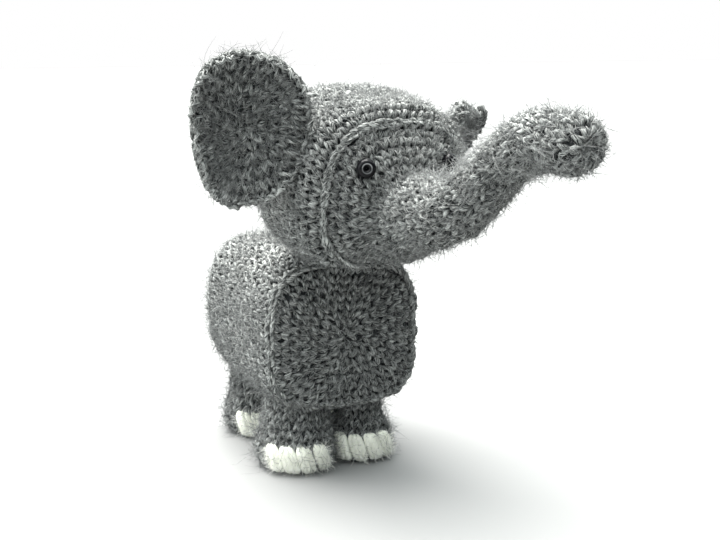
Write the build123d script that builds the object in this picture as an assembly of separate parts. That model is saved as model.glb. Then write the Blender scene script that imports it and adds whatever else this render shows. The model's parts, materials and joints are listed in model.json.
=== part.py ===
from build123d import *
from math import cos, radians, sin, sqrt, tan
import os

# Small crocheted wool elephant, sewn up from stuffed bags and tubes, with a bendable trunk.
# Millimetres, +Z up, the face looks along -Y and the elephant's own left side is +X.
# Everything is modelled about the middle of the body first, then moved so that the origin
# is under the middle of the whole toy, on the surface that it stands on.

# Crocheted fabric and the room that moving pieces need
WALL = 2.4
CLEARANCE = 0.35

# Body: a squared bag lying along Y, worked from the chest backwards
BODY_WIDTH = 47.0
BODY_LOW = 18.2
BODY_TOP = 60.6
BODY_FRONT = -26.0
BODY_REAR = 38.5
BODY_CORNER = 13.0
CHEST_EDGE = 5.0
RUMP_EDGE = 12.0

# Legs: short tubes that widen to the foot and press against each other in the middle
LEG_TOP_RADIUS = 10.3
FOOT_RADIUS = 11.4
FOOT_HEIGHT = 3.4
SOLE_EDGE = 2.0
LEG_SPREAD = 9.76
LEG_MIDDLE_X = -1.0
FRONT_LEG_Y = -12.0
REAR_LEG_Y = 21.1
LEG_RISE = 8.0

# Toenails: four fat stitches round the front of each foot
NAIL_COUNT = 4
NAIL_RADIUS = 1.9
NAIL_LOW = 0.5
NAIL_HEIGHT = 7.6
NAIL_STEP = 25.0
# How far each foot's row of nails is turned from straight ahead
NAIL_MIDDLE = {"right": -18.0, "left": -10.0}
NAIL_SINK = 0.9

# Head: a squared bag with a domed face panel, turned to the elephant's left and nose-down
HEAD_WIDTH = 49.8
HEAD_HEIGHT = 46.6
HEAD_DEPTH = 40.8
HEAD_CORNER = 18.0
HEAD_REAR_EDGE = 15.0
HEAD_FRONT_EDGE = 3.5
FACE_SHARE = 0.84
FACE_BULGE = 9.4
HEAD_CENTRE = (2.2, -22.5, 84.3)
HEAD_YAW = 9.0
HEAD_PITCH = 10.3

# Neck: a ring of sewing stitches between two bags, with room for the head to turn and nod
NECK_CENTRE = (1.0, -15.0)
NECK_RING_RADIUS = 9.5
NECK_YARN_RADIUS = 0.75
NECK_TURN = 18.0
NOD_DOWN = 4.0
NOD_UP = 8.0
NOD_MARGIN = 0.6

# Eyes: round beads on one thread
BEAD_RADIUS = 2.35
EYE_SPREAD = 12.9
EYE_HEIGHT = 9.4
BEAD_PROUD = 1.0
THREAD_RADIUS = 0.45
THREAD_DEPTH = 10.0
THREAD_BEND = 3.0

# Trunk: (forward, up, radius) along its middle line, in the head's own frame, root first
TRUNK_LINE = [
    (20.0, -6.8, 11.4),
    (33.5, -1.0, 9.6),
    (45.4, 3.4, 8.1),
    (54.7, 11.6, 7.0),
    (62.9, 21.0, 6.5),
    (72.6, 27.9, 6.6),
    (83.6, 31.2, 6.5),
]
TRUNK_WALL = 2.0
WIRE_RADIUS = 0.8
BEND_LIMIT = 25.0
BEND_MARGIN = 2.0
FIRST_BEND = 2
SECOND_BEND = 4
TRUNK_SEAM_RADIUS = 0.9
TRUNK_SEAM_PLACE = 0.72

# Ears: curved ovals, each sewn on by its inner edge, which it can flap about
EAR_REACH = 26.0
EAR_WIDTH = 30.0
EAR_THICKNESS = 3.4
EAR_CURVE_RADIUS = 30.0
EAR_SEAM_THICKNESS = 2.4
EAR_SEAM_DEPTH = 14.0
# How far an ear flaps backwards and forwards
EAR_FLAP = (25.0, 30.0)
# (forward of the head's centre, above it, angle swept back, lean inwards at the top, height)
EAR_RIGHT = (9.0, 11.5, 27.0, 10.0, 41.0)
EAR_LEFT = (4.0, 0.0, 40.0, 2.0, 36.0)

# Tail: a short cord with a tuft, hanging free from the rump
TAIL_ROOT_Z = 46.0
TAIL_LENGTH = 15.0
TAIL_RADIUS = 1.7
TUFT_LENGTH = 8.0
TUFT_RADIUS = 2.8
TAIL_KNOT_RADIUS = 1.3
TAIL_SWING = 35.0


def pillow(width, height, front, rear, corner, front_edge, rear_edge):
    """A rounded rectangle drawn out along Y, with its front and rear edges rounded."""
    outline = Plane(origin=(0, front, 0), x_dir=(1, 0, 0), z_dir=(0, 1, 0)) * RectangleRounded(
        width, height, corner
    )
    block = extrude(outline, amount=rear - front)
    if front_edge > 0:
        block = fillet(block.faces().sort_by(Axis.Y)[0].edges(), front_edge)
    if rear_edge > 0:
        block = fillet(block.faces().sort_by(Axis.Y)[-1].edges(), rear_edge)
    return block


def body_form(inset):
    """The body bag, or the space inside it when inset is the fabric's thickness."""
    form = pillow(
        BODY_WIDTH - 2 * inset,
        BODY_TOP - BODY_LOW - 2 * inset,
        BODY_FRONT + inset,
        BODY_REAR - inset,
        BODY_CORNER - inset,
        CHEST_EDGE - inset,
        RUMP_EDGE - inset,
    )
    return Pos(0, 0, (BODY_TOP + BODY_LOW) / 2) * form


# The face panel is part of one large ball
FACE_HALF_WIDTH = FACE_SHARE * HEAD_WIDTH / 2
FACE_BALL = (FACE_HALF_WIDTH**2 + FACE_BULGE**2) / (2 * FACE_BULGE)
FACE_POLE = -HEAD_DEPTH / 2 - FACE_BULGE
FACE_ROOT = -HEAD_DEPTH / 2 + 1.0


def head_form(inset):
    """The head bag in its own frame: a pillow with the domed face panel in front of it."""
    pouch = pillow(
        HEAD_WIDTH - 2 * inset,
        HEAD_HEIGHT - 2 * inset,
        FACE_ROOT + inset,
        HEAD_DEPTH / 2 - inset,
        HEAD_CORNER - inset,
        HEAD_FRONT_EDGE - inset * 0.5,
        HEAD_REAR_EDGE - inset,
    )
    panel = pillow(
        FACE_SHARE * HEAD_WIDTH - 2 * inset,
        FACE_SHARE * HEAD_HEIGHT - 2 * inset,
        FACE_POLE - 1.0,
        0,
        FACE_SHARE * HEAD_CORNER - inset,
        0,
        0,
    )
    ball = Pos(0, FACE_POLE + FACE_BALL, 0) * Sphere(FACE_BALL - inset)
    return pouch + (panel & ball)


HEAD_PLACE = Pos(*HEAD_CENTRE) * Rot(0, 0, HEAD_YAW) * Rot(HEAD_PITCH, 0, 0)


def in_head(shape):
    """Take a shape from the head's own frame to where the head is."""
    return HEAD_PLACE * shape


def neck_wedge(low):
    """The room under the head: two slopes that meet on the nod axis, for the head to rock in."""
    half = 60.0
    front_rise = half * tan(radians(NOD_DOWN + NOD_MARGIN))
    rear_rise = half * tan(radians(NOD_UP + NOD_MARGIN))
    side = Polyline((-half, front_rise), (0, 0), (half, rear_rise), (half, -half), (-half, -half), close=True)
    wedge = extrude(Plane.YZ * make_face(side), amount=half, both=True)
    return Pos(NECK_CENTRE[0], NECK_CENTRE[1], low) * Rot(0, 0, HEAD_YAW) * wedge


parts = {}

# Body
body_outer = body_form(0)
body_inner = body_form(WALL)
parts["body_cover"] = body_outer - body_inner
parts["body_stuffing"] = body_inner

# Neck
NECK_YARN_Z = BODY_TOP + CLEARANCE + NECK_YARN_RADIUS
HEAD_LOW = NECK_YARN_Z + NECK_YARN_RADIUS + CLEARANCE
neck_ring = Torus(NECK_RING_RADIUS, NECK_YARN_RADIUS)
parts["neck_seam"] = Pos(NECK_CENTRE[0], NECK_CENTRE[1], NECK_YARN_Z) * neck_ring

# Head form, beads and the thread that joins them
head_outer = in_head(head_form(0)) - neck_wedge(HEAD_LOW)
head_inner = in_head(head_form(WALL)) - neck_wedge(HEAD_LOW + WALL)


def face_y(x, z):
    """Where the face panel's surface is, in the head's own frame."""
    return FACE_POLE + FACE_BALL - sqrt(FACE_BALL**2 - x**2 - z**2)


bead_y = face_y(EYE_SPREAD, EYE_HEIGHT) - BEAD_PROUD
beads = {}
for side, x in (("right", -EYE_SPREAD), ("left", EYE_SPREAD)):
    beads[side] = in_head(Pos(x, bead_y, EYE_HEIGHT) * Sphere(BEAD_RADIUS))
thread_line = FilletPolyline(
    (-EYE_SPREAD, bead_y, EYE_HEIGHT),
    (-EYE_SPREAD, bead_y + THREAD_DEPTH, EYE_HEIGHT),
    (EYE_SPREAD, bead_y + THREAD_DEPTH, EYE_HEIGHT),
    (EYE_SPREAD, bead_y, EYE_HEIGHT),
    radius=THREAD_BEND,
)
thread_end = Plane(origin=thread_line @ 0, z_dir=thread_line % 0)
thread = in_head(sweep(thread_end * Circle(THREAD_RADIUS), path=thread_line))
parts["eye_right"] = beads["right"]
parts["eye_left"] = beads["left"]
parts["eye_thread"] = thread - [beads["right"], beads["left"]]

# Trunk
line_points = [Vector(0, -forward, up) for forward, up, _ in TRUNK_LINE]
trunk_radii = [radius for _, _, radius in TRUNK_LINE]
trunk_path = Spline(*line_points)


def station(index):
    """The plane across the trunk at one of its line points."""
    where = trunk_path.param_at_point(line_points[index])
    return Plane(origin=line_points[index], x_dir=(1, 0, 0), z_dir=trunk_path % where)


def trunk_form(inset):
    """The trunk tube, lofted through round sections; inset makes the space inside it."""
    last = len(line_points) - 1
    rings = [station(i) * Circle(trunk_radii[i] - inset) for i in range(len(line_points))]
    tube = loft([ring.face() for ring in rings])
    nose = station(last) * (Sphere(trunk_radii[last] - inset) & Pos(0, 0, 25) * Box(50, 50, 50))
    return tube + nose


def bend_ball(index, extra):
    """The ball that a trunk length ends in at a bend, large enough for the bend's whole range."""
    radius = trunk_radii[index] / cos(radians(BEND_LIMIT + BEND_MARGIN)) + extra
    return Pos(*line_points[index]) * Sphere(radius)


def beyond(index):
    """All the space past a line point, towards the tip."""
    return station(index) * Pos(0, 0, 60) * Box(120, 120, 120)


def lengths(tube):
    """Cut a trunk tube into its three lengths, with a ball-shaped gap at each bend."""
    root = tube - (beyond(FIRST_BEND) - bend_ball(FIRST_BEND, 0))
    middle = (tube & beyond(FIRST_BEND)) - bend_ball(FIRST_BEND, CLEARANCE)
    middle -= beyond(SECOND_BEND) - bend_ball(SECOND_BEND, 0)
    tip = (tube & beyond(SECOND_BEND)) - bend_ball(SECOND_BEND, CLEARANCE)
    return {"root": root, "mid": middle, "tip": tip}


trunk_outer = trunk_form(0)
trunk_inner = trunk_form(TRUNK_WALL)
wire_rings = [(station(i) * Circle(WIRE_RADIUS)).face() for i in range(len(line_points))]
wire_form = loft(wire_rings)
for piece, tube in (
    ("trunk_cover", trunk_outer - trunk_inner),
    ("trunk_stuffing", trunk_inner - wire_form),
    ("trunk_wire", wire_form),
):
    for name, length in lengths(tube).items():
        placed = in_head(length)
        if name == "root" and piece != "trunk_wire":
            placed -= in_head(head_form(0))
        parts[f"{piece}_{name}"] = placed

# The head's bag and stuffing make room for the beads, their thread and the trunk's wire
sunk_in_head = [beads["right"], beads["left"], thread, parts["trunk_wire_root"]]
parts["head_cover"] = (head_outer - head_inner) - sunk_in_head
parts["head_stuffing"] = head_inner - sunk_in_head

# The trunk's sewing stitches lie where its root meets the face
seam_at = TRUNK_SEAM_PLACE * trunk_path.param_at_point(line_points[1])
seam_radius = trunk_radii[0] + TRUNK_SEAM_PLACE * (trunk_radii[1] - trunk_radii[0]) + TRUNK_SEAM_RADIUS * 0.5
seam_plane = Plane(origin=trunk_path @ seam_at, x_dir=(1, 0, 0), z_dir=trunk_path % seam_at)
trunk_seam = in_head(seam_plane * Torus(seam_radius, TRUNK_SEAM_RADIUS))
parts["trunk_seam"] = trunk_seam - head_outer - in_head(trunk_outer)

# Ears
HINGE_OUT = HEAD_WIDTH / 2 + EAR_SEAM_THICKNESS / 2 + CLEARANCE + EAR_THICKNESS / 2


def ear_place(side):
    """Where an ear's hinge is in the head's frame: Z along the hinge, X out along the ear."""
    forward, up, swept, lean, _ = EARS[side]
    mirror = -1 if side == "right" else 1
    turn = 180 - swept if side == "right" else swept
    return Pos(mirror * HINGE_OUT, -forward, up) * Rot(0, -mirror * lean, 0) * Rot(0, 0, turn)


def ear_form(side):
    """An oval of curved skin, hollow towards the face, with its sewn edge round about the hinge."""
    hollow_side = 1 if side == "right" else -1
    height = EARS[side][4]
    half = EAR_WIDTH / 2
    middle = EAR_REACH - half
    ball_y = hollow_side * sqrt(EAR_CURVE_RADIUS**2 - middle**2)
    ring = Circle(EAR_CURVE_RADIUS + EAR_THICKNESS / 2) - Circle(EAR_CURVE_RADIUS - EAR_THICKNESS / 2)
    skin = Pos(middle, ball_y, 0) * extrude(ring, amount=height, both=True)
    oval = Pos(middle, 0, 0) * extrude(Plane.XZ * Ellipse(half, height / 2), amount=half, both=True)
    outer_side = Pos(EAR_REACH, 0, 0) * Box(2 * EAR_REACH, 4 * half, 2 * height)
    sewn_height = height * sqrt(1 - (middle / half) ** 2)
    return (skin & oval & outer_side) + Cylinder(EAR_THICKNESS / 2, sewn_height)


EARS = {"right": EAR_RIGHT, "left": EAR_LEFT}
for side in EARS:
    parts[f"ear_{side}"] = in_head(ear_place(side) * ear_form(side))
    height = EARS[side][4]
    sewn_height = height * sqrt(1 - ((EAR_REACH - EAR_WIDTH / 2) / (EAR_WIDTH / 2)) ** 2)
    inwards = 1 if side == "right" else -1
    strip_out = HINGE_OUT - CLEARANCE - EAR_THICKNESS / 2
    forward, up, _, lean, _ = EARS[side]
    strip = Pos(inwards * EAR_SEAM_DEPTH / 2, 0, 0) * Box(EAR_SEAM_DEPTH, EAR_SEAM_THICKNESS, sewn_height)
    strip = Pos(-inwards * strip_out, -forward, up) * Rot(0, inwards * lean, 0) * strip
    parts[f"ear_seam_{side}"] = in_head(strip) - head_outer

# Legs, soles and toenails
LEG_REACH = BODY_LOW + LEG_RISE


def leg_form(inset):
    """A leg about its own upright axis, standing on z=0."""
    foot = FOOT_RADIUS - inset
    top = LEG_TOP_RADIUS - inset
    side = Polyline((0, 0), (foot, 0), (foot, FOOT_HEIGHT), (top, LEG_REACH), (0, LEG_REACH), close=True)
    leg = revolve(Plane.XZ * make_face(side), Axis.Z)
    if inset == 0:
        leg = fillet(leg.faces().sort_by(Axis.Z)[0].edges(), SOLE_EDGE)
    return leg


for end, y in (("front", FRONT_LEG_Y), ("rear", REAR_LEG_Y)):
    for side, mirror in (("right", -1), ("left", 1)):
        x = LEG_MIDDLE_X + mirror * LEG_SPREAD
        name = f"{end}_{side}"
        here = Pos(x, y, 0)
        half_room = Pos(LEG_MIDDLE_X + mirror * 50, y, 50) * Box(100, 100, 100)
        inner_half = Pos(LEG_MIDDLE_X + mirror * (50 + WALL), y, 50) * Box(100, 100, 100)
        above_sole = Pos(x, y, 50 + WALL) * Box(100, 100, 100)
        leg = (here * leg_form(0) & half_room) - body_outer
        space = (here * leg_form(WALL) & inner_half & above_sole) - body_outer
        parts[f"leg_cover_{name}"] = (leg & above_sole) - space
        parts[f"leg_stuffing_{name}"] = space
        parts[f"sole_{name}"] = leg - above_sole
        nails = Part()
        for k in range(NAIL_COUNT):
            angle = radians(NAIL_MIDDLE[side] + NAIL_STEP * (k - (NAIL_COUNT - 1) / 2))
            reach = FOOT_RADIUS - NAIL_SINK
            straight = NAIL_HEIGHT - 2 * NAIL_RADIUS
            low = NAIL_LOW + NAIL_RADIUS
            bar = Pos(0, 0, low + straight / 2) * Cylinder(NAIL_RADIUS, straight)
            bar += Pos(0, 0, low) * Sphere(NAIL_RADIUS)
            bar += Pos(0, 0, low + straight) * Sphere(NAIL_RADIUS)
            nails += Pos(x + reach * sin(angle), y - reach * cos(angle), 0) * bar
        parts[f"toenails_{name}"] = nails - here * leg_form(0)

# Tail
tail_y = BODY_REAR + CLEARANCE + TUFT_RADIUS
tail_low = TAIL_ROOT_Z - TAIL_LENGTH
tail = Pos(0, tail_y, TAIL_ROOT_Z - TAIL_LENGTH / 2) * Cylinder(TAIL_RADIUS, TAIL_LENGTH)
tail += Pos(0, tail_y, TAIL_ROOT_Z) * Sphere(TAIL_RADIUS)
tuft_side = Polyline(
    (0, 0), (TAIL_RADIUS, 0), (TUFT_RADIUS, -TUFT_LENGTH * 0.45), (0.8, -TUFT_LENGTH), (0, -TUFT_LENGTH), close=True
)
parts["tail"] = tail
parts["tail_tuft"] = Pos(0, tail_y, tail_low) * revolve(Plane.XZ * make_face(tuft_side), Axis.Z)
knot_length = tail_y - TAIL_RADIUS - CLEARANCE - BODY_REAR
knot_plane = Plane(origin=(0, BODY_REAR, TAIL_ROOT_Z), z_dir=(0, 1, 0))
parts["tail_knot"] = knot_plane * Cylinder(
    TAIL_KNOT_RADIUS, knot_length, align=(Align.CENTER, Align.CENTER, Align.MIN)
)

# The origin: under the middle of the whole toy
boxes = [shape.bounding_box() for shape in parts.values()]
middle_x = (min(box.min.X for box in boxes) + max(box.max.X for box in boxes)) / 2
middle_y = (min(box.min.Y for box in boxes) + max(box.max.Y for box in boxes)) / 2
to_origin = Pos(-middle_x, -middle_y, 0)

# Where each joint turns, at rest, and how far it goes in degrees
across_head = (cos(radians(HEAD_YAW)), sin(radians(HEAD_YAW)), 0)
joints = {
    "neck_turn": (Axis((NECK_CENTRE[0], NECK_CENTRE[1], NECK_YARN_Z), (0, 0, 1)), -NECK_TURN, NECK_TURN),
    "head_nod": (Axis((NECK_CENTRE[0], NECK_CENTRE[1], HEAD_LOW), across_head), -NOD_UP, NOD_DOWN),
    "trunk_lift": (Axis(line_points[FIRST_BEND], (1, 0, 0)).located(HEAD_PLACE), -BEND_LIMIT, BEND_LIMIT),
    "trunk_curl": (Axis(line_points[SECOND_BEND], (1, 0, 0)).located(HEAD_PLACE), -BEND_LIMIT, BEND_LIMIT),
    "ear_flap_right": (Axis.Z.located(HEAD_PLACE * ear_place("right")), -EAR_FLAP[0], EAR_FLAP[1]),
    "ear_flap_left": (Axis.Z.located(HEAD_PLACE * ear_place("left")), -EAR_FLAP[1], EAR_FLAP[0]),
    "tail_swing": (Axis((0, tail_y, TAIL_ROOT_Z), (0, 1, 0)), -TAIL_SWING, TAIL_SWING),
}
for name, (axis, low, high) in joints.items():
    axis = axis.located(to_origin)
    where = [round(v, 3) for v in axis.position]
    along = [round(v, 5) for v in axis.direction]
    print(name, "at", where, "along", along, "from", low, "to", high)

os.makedirs("parts", exist_ok=True)
for node, shape in parts.items():
    export_step(to_origin * shape, f"parts/{node}.step")
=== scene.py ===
import json

import bpy
import numpy as np
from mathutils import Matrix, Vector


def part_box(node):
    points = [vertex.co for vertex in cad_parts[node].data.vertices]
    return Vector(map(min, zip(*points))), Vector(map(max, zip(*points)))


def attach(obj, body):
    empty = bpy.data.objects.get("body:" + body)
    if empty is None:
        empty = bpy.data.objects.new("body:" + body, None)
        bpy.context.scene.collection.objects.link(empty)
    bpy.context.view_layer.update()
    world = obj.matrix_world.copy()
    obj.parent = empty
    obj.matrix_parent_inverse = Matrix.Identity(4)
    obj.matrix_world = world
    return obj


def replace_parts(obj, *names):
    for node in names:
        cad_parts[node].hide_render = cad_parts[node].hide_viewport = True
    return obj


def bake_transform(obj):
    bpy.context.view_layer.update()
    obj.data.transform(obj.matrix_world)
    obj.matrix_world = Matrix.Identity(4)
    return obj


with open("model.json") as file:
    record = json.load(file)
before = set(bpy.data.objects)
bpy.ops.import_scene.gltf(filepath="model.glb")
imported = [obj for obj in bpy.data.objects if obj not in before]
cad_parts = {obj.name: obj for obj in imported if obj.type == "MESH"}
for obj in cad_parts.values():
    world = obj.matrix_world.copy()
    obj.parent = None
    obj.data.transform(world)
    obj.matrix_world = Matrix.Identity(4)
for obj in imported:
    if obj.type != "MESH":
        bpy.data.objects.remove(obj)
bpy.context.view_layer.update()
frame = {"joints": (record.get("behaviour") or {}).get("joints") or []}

# A small crocheted wool elephant. Shapes are worked out in millimetres in the frame's own axes
# (+Z up, face along -Y, the elephant's own left along +X) and become metres in each mesh.
MM = 0.001
joint_at = {j["name"]: np.array(j["pos_m"]) / MM for j in frame["joints"]}
joint_along = {j["name"]: np.array(j["axis"]) for j in frame["joints"]}
scene = bpy.context.scene


# ---------------------------------------------------------------- Studio
# A seamless pale sweep in a bright white room, with one broad soft light high behind the toy and
# a little to the camera's left, so that the crown and the rump are light and the chest is shaded.
scene.view_settings.view_transform = "Standard"
look_from = np.array([-129.1, -286.3, 121.8])
LOOK_TURN = np.radians(-24.02)
LOOK_DOWN = np.radians(11.15)
camera_data = bpy.data.cameras.new("Camera")
camera_data.lens = 60.0
camera_data.sensor_width = 36.0
camera_data.clip_start = 0.005
camera = bpy.data.objects.new("Camera", camera_data)
camera.location = look_from * MM
camera.rotation_euler = (np.pi / 2 - LOOK_DOWN, 0.0, LOOK_TURN)
scene.collection.objects.link(camera)
scene.camera = camera


def link(tree, output, target):
    """Join one socket to another in a node tree."""
    tree.links.new(output, target)


def add(tree, kind, sockets=None, **settings):
    """A new node with its settings. A socket takes a plain value, or a link from a socket."""
    made = tree.nodes.new(kind)
    for name, value in settings.items():
        setattr(made, name, value)
    for name, value in (sockets or {}).items():
        if isinstance(value, bpy.types.NodeSocket):
            link(tree, value, made.inputs[name])
        else:
            made.inputs[name].default_value = value
    return made


world = bpy.data.worlds.new("White_room")
scene.world = world
world.use_nodes = True
room = world.node_tree
BRIGHTEST_WAY = (-0.30, 0.42, 0.857)
way = add(room, "ShaderNodeTexCoord")
facing = add(
    room, "ShaderNodeVectorMath", {0: way.outputs["Generated"], 1: BRIGHTEST_WAY}, operation="DOT_PRODUCT"
).outputs["Value"]
bright = add(
    room, "ShaderNodeMapRange",
    {"Value": facing, "From Min": -0.20, "From Max": 1.0, "To Min": 0.02, "To Max": 4.4},
    interpolation_type="SMOOTHSTEP",
)
seen = add(room, "ShaderNodeLightPath").outputs["Is Camera Ray"]
strength = add(room, "ShaderNodeMix", {"Factor": seen, "A": bright.outputs["Result"], "B": 1.0})
tint = add(
    room, "ShaderNodeMix", {"Factor": facing, "A": (0.88, 0.99, 1.0, 1), "B": (1.0, 0.995, 0.975, 1)},
    data_type="RGBA",
)
plain = add(
    room, "ShaderNodeMix", {"Factor": seen, "A": tint.outputs["Result"], "B": (1, 1, 1, 1)}, data_type="RGBA"
)
link(room, plain.outputs["Result"], room.nodes["Background"].inputs["Color"])
link(room, strength.outputs["Result"], room.nodes["Background"].inputs["Strength"])

# The broad soft light comes from one part of the sky, spread over a wide angle
key_data = bpy.data.lights.new("Key", "SUN")
key_data.energy = 11.0
key_data.angle = np.radians(50)
key_data.color = (1.0, 0.985, 0.955)
key = bpy.data.objects.new("Key", key_data)
key.rotation_euler = (np.radians(-15.0), np.radians(-6.0), 0.0)
scene.collection.objects.link(key)

FLOOR = 4.0
floor_mesh = bpy.data.meshes.new("Floor")
floor_mesh.from_pydata(
    [(-FLOOR, -FLOOR, 0), (FLOOR, -FLOOR, 0), (FLOOR, FLOOR, 0), (-FLOOR, FLOOR, 0)], [], [(0, 1, 2, 3)]
)
floor = bpy.data.objects.new("Floor", floor_mesh)
scene.collection.objects.link(floor)
floor_paint = bpy.data.materials.new("Pale_sweep")
floor_paint.use_nodes = True
sweep = floor_paint.node_tree.nodes["Principled BSDF"].inputs
sweep["Base Color"].default_value = (0.198, 0.2015, 0.201, 1)
sweep["Roughness"].default_value = 0.8
floor_mesh.materials.append(floor_paint)


# ---------------------------------------------------------------- Body
# The body is a squared bag of heathered charcoal wool, crocheted in one spiral from the middle
# of the chest over its edge and back to the rump, stuffed firmly and closed behind.


def unit(vectors):
    """Each vector divided by its own length."""
    return vectors / np.maximum(np.linalg.norm(vectors, axis=-1, keepdims=True), 1e-9)


def squared_ring(share, power):
    """The points at a share of the way round |x|^p + |z|^p = 1, at equal steps of its length."""
    angle = np.linspace(0, 2 * np.pi, 1441)
    ring = np.stack([np.cos(angle), np.sin(angle)], -1)
    ring /= (np.abs(ring) ** power).sum(-1, keepdims=True) ** (1 / power)
    run = np.r_[0, np.cumsum(np.linalg.norm(np.diff(ring, axis=0), axis=1))]
    wanted = np.mod(share, 1.0) * run[-1]
    return np.interp(wanted, run, ring[:, 0]), np.interp(wanted, run, ring[:, 1])


def lumps(points, size, seed):
    """A smooth field from -1 to 1: the mean of sines of the place along six fixed directions."""
    rng = np.random.default_rng(seed)
    total = 0.0
    for direction in unit(rng.normal(size=(6, 3))):
        total = total + np.sin(points @ direction * (2 * np.pi / size) + rng.uniform(0, 6.3))
    return total / 6


class Skin:
    """A closed bag: an outline of (out, along) carried round by place(out, share, along).

    out goes from 0 to 1 and back, share goes once round, and run is the length along the outline."""

    def __init__(self, outline, place, scale):
        outline = np.array(outline, float)
        steps = np.diff(outline * np.array([scale, 1.0]), axis=0)
        self.run = np.r_[0, np.cumsum(np.linalg.norm(steps, axis=1))]
        self.length = self.run[-1]
        self.outline = outline
        self.place = place

    def at(self, run, share):
        """The surface point at a length along the outline and a share of the way round."""
        run = np.clip(run, 0, self.length)
        out = np.interp(run, self.run, self.outline[:, 0])
        along = np.interp(run, self.run, self.outline[:, 1])
        return self.place(out, share, along)

    def axes(self, run, share):
        """Unit vectors round the bag, along its outline, and outwards."""
        small = 0.4
        round_way = unit(self.at(run, share + 2e-3) - self.at(run, share - 2e-3))
        along_way = unit(self.at(run + small, share) - self.at(run - small, share))
        return round_way, along_way, unit(np.cross(along_way, round_way))

    def girth(self, run):
        """The length once round at each run."""
        share = np.linspace(0, 1, 97)
        ring = self.at(np.asarray(run, float)[:, None], share[None, :])
        return np.linalg.norm(np.diff(ring, axis=1), axis=2).sum(1)


def tubes(paths, outward, radii, sides, start=0.0):
    """Closed tubes: a ring of sides points round every path point, at its radius from it.

    paths is (tubes, points, 3). Returns points, faces and, for each face corner, the place on
    the yarn (length along it in centimetres, share round it) and the tube's number."""
    count, steps, _ = paths.shape
    ahead = unit(np.gradient(paths, axis=1))
    side = unit(np.cross(ahead, outward))
    up = np.cross(side, ahead)
    angle = 2 * np.pi * np.arange(sides) / sides
    ring = np.cos(angle)[:, None] * side[:, :, None] + np.sin(angle)[:, None] * up[:, :, None]
    points = paths[:, :, None] + radii[:, :, None, None] * ring
    index = np.arange(count * steps * sides).reshape(count, steps, sides)
    here, after = index[:, :-1], index[:, 1:]
    quads = np.stack([here, after, np.roll(after, -1, 2), np.roll(here, -1, 2)], -1)
    run = np.cumsum(np.linalg.norm(np.diff(paths, axis=1, prepend=paths[:, :1]), axis=2), axis=1)
    run = (run + np.broadcast_to(start, (count,))[:, None]) * 0.1
    share = np.arange(sides + 1) / sides
    shape = (count, steps - 1, sides)
    u = np.stack([run[:, :-1, None], run[:, 1:, None], run[:, 1:, None], run[:, :-1, None]], -1)
    v = np.stack([share[:-1], share[:-1], share[1:], share[1:]], -1)
    yarn = np.stack([np.broadcast_to(u, shape + (4,)), np.broadcast_to(v, shape + (4,))], -1)
    step = np.arange(steps) / (steps - 1)
    cell_u = np.stack([step[:-1], step[1:], step[1:], step[:-1]], -1)[None, :, None, :]
    cell = np.stack([np.broadcast_to(cell_u, shape + (4,)), yarn[..., 1]], -1)
    number = np.broadcast_to(np.arange(count)[:, None, None, None], shape + (4,))
    caps = np.concatenate([index[:, 0], index[:, -1, ::-1]])
    cap_run = np.concatenate([run[:, 0], run[:, -1]])[:, None] + 0 * share[:-1]
    cap_yarn = np.stack([cap_run, np.broadcast_to(share[:-1], cap_run.shape)], -1)
    cap_cell = np.stack([np.repeat([0.0, 1.0], count)[:, None] + 0 * share[:-1], cap_yarn[..., 1]], -1)
    cap_number = np.tile(np.arange(count), 2)[:, None] + np.zeros(sides, int)
    return {
        "points": points.reshape(-1, 3),
        "faces": [quads.reshape(-1, 4), caps],
        "yarn": [yarn.reshape(-1, 2), cap_yarn.reshape(-1, 2)],
        "cell": [cell.reshape(-1, 2), cap_cell.reshape(-1, 2)],
        "number": [number.reshape(-1), cap_number.reshape(-1)],
        "count": count,
    }


def patch(points, closed):
    """A grid of points made into faces; closed joins its last column to its first."""
    rows, columns, _ = points.shape
    index = np.arange(rows * columns).reshape(rows, columns)
    right = np.roll(index, -1, 1) if closed else index[:, 1:]
    left = index if closed else index[:, :-1]
    quads = np.stack([left[:-1], left[1:], right[1:], right[:-1]], -1)
    wide = left.shape[1]
    u = np.arange(wide + 1) / wide
    v = np.arange(rows) / (rows - 1)
    shape = (rows - 1, wide)
    corner_u = np.stack([u[:-1], u[:-1], u[1:], u[1:]], -1)[None]
    corner_v = np.stack([v[:-1], v[1:], v[1:], v[:-1]], -1)[:, None]
    cell = np.stack([np.broadcast_to(corner_u, shape + (4,)), np.broadcast_to(corner_v, shape + (4,))], -1)
    cell = cell.reshape(-1, 2)
    return {
        "points": points.reshape(-1, 3),
        "faces": [quads.reshape(-1, 4)],
        "yarn": [cell * np.array([12.0, 9.0])],
        "cell": [cell],
        "number": [np.zeros(len(cell), int)],
        "count": 1,
    }


JUST_ABOVE_FLOOR = 0.03


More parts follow.
